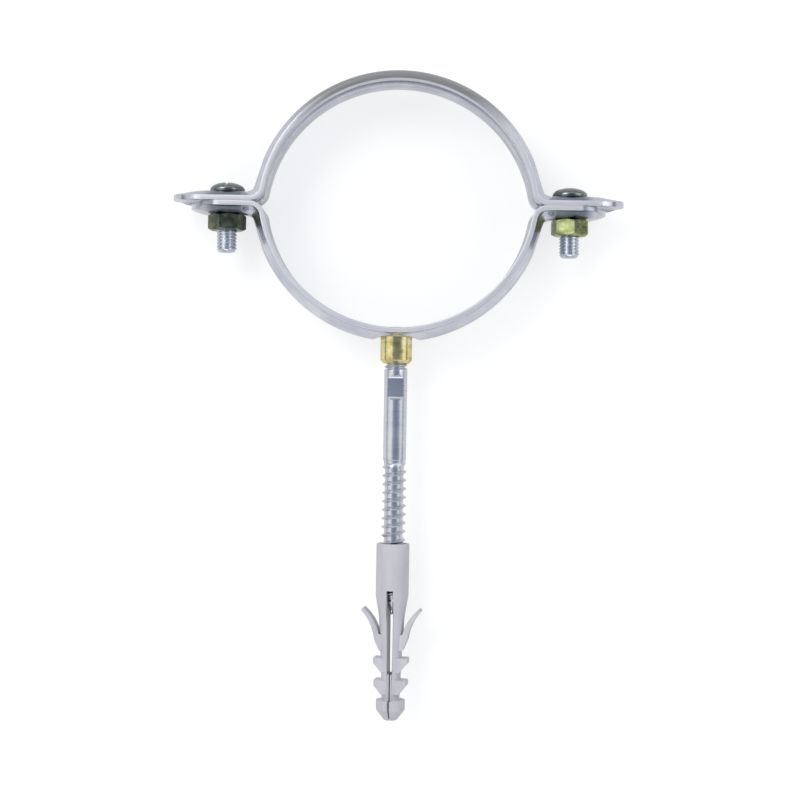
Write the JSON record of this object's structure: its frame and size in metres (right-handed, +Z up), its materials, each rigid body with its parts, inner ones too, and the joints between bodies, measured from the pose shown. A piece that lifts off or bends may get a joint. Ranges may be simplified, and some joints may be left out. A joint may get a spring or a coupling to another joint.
{
  "type": "downpipe bracket",
  "caption": "Two-half beaded steel clamp for a round downpipe, bolted through its ears, on a hanger screw with a split nylon wall plug.",
  "frame": {"origin": "the middle of the pipe seat, on the plane where the two halves meet and half way up the band", "axes": "+Z up along the downpipe, -Y towards the wall along the hanger screw, X through the two bolts"},
  "size_m": [0.1366, 0.197, 0.02],
  "materials": {
    "front_band": "bright zinc plate, drawn and pressed",
    "rear_band": "bright zinc plate, drawn and pressed",
    "boss": "turned yellow brass",
    "bolts": "bright zinc plate",
    "nut_left": "olive passivated zinc",
    "nut_right": "yellow passivated zinc",
    "hanger": "bright zinc plate",
    "plug": "light grey moulded nylon"
  },
  "bodies": {
    "rear_clamp": {"rear_half_band": "rear_band", "threaded_boss": "boss"},
    "front_clamp": {"front_half_band": "front_band", "bolt_left": "bolts", "bolt_right": "bolts"},
    "nut_left": {"nut_left": "nut_left"},
    "nut_right": {"nut_right": "nut_right"},
    "hanger": {"hanger_screw": "hanger"},
    "plug": {"wall_plug": "plug"}
  },
  "joints": [
    {"name": "clamp_open", "type": "slide", "parent": "rear_clamp", "child": "front_clamp", "axis": [0, 1, 0], "range_m": [0, 0.0065]},
    {"name": "nut_left_turn", "type": "hinge", "parent": "rear_clamp", "child": "nut_left", "pos_m": [-0.05196, -0.0058, 0], "axis": [0, -1, 0], "range_deg": [0, 2340]},
    {"name": "nut_right_turn", "type": "hinge", "parent": "rear_clamp", "child": "nut_right", "pos_m": [0.05196, -0.0058, 0], "axis": [0, -1, 0], "range_deg": [0, 2340]},
    {"name": "hanger_turn", "type": "hinge", "parent": "rear_clamp", "child": "hanger", "pos_m": [0, -0.0477, 0], "axis": [0, -1, 0], "range_deg": [-180, 180]},
    {"name": "plug_pull", "type": "slide", "parent": "hanger", "child": "plug", "axis": [0, -1, 0], "range_m": [0, 0.0225]}
  ],
  "couplings": [
    {"joint": "nut_left_turn", "follows": "clamp_open", "rad_per_m": 6283.2},
    {"joint": "nut_right_turn", "follows": "clamp_open", "rad_per_m": 6283.2}
  ]
}
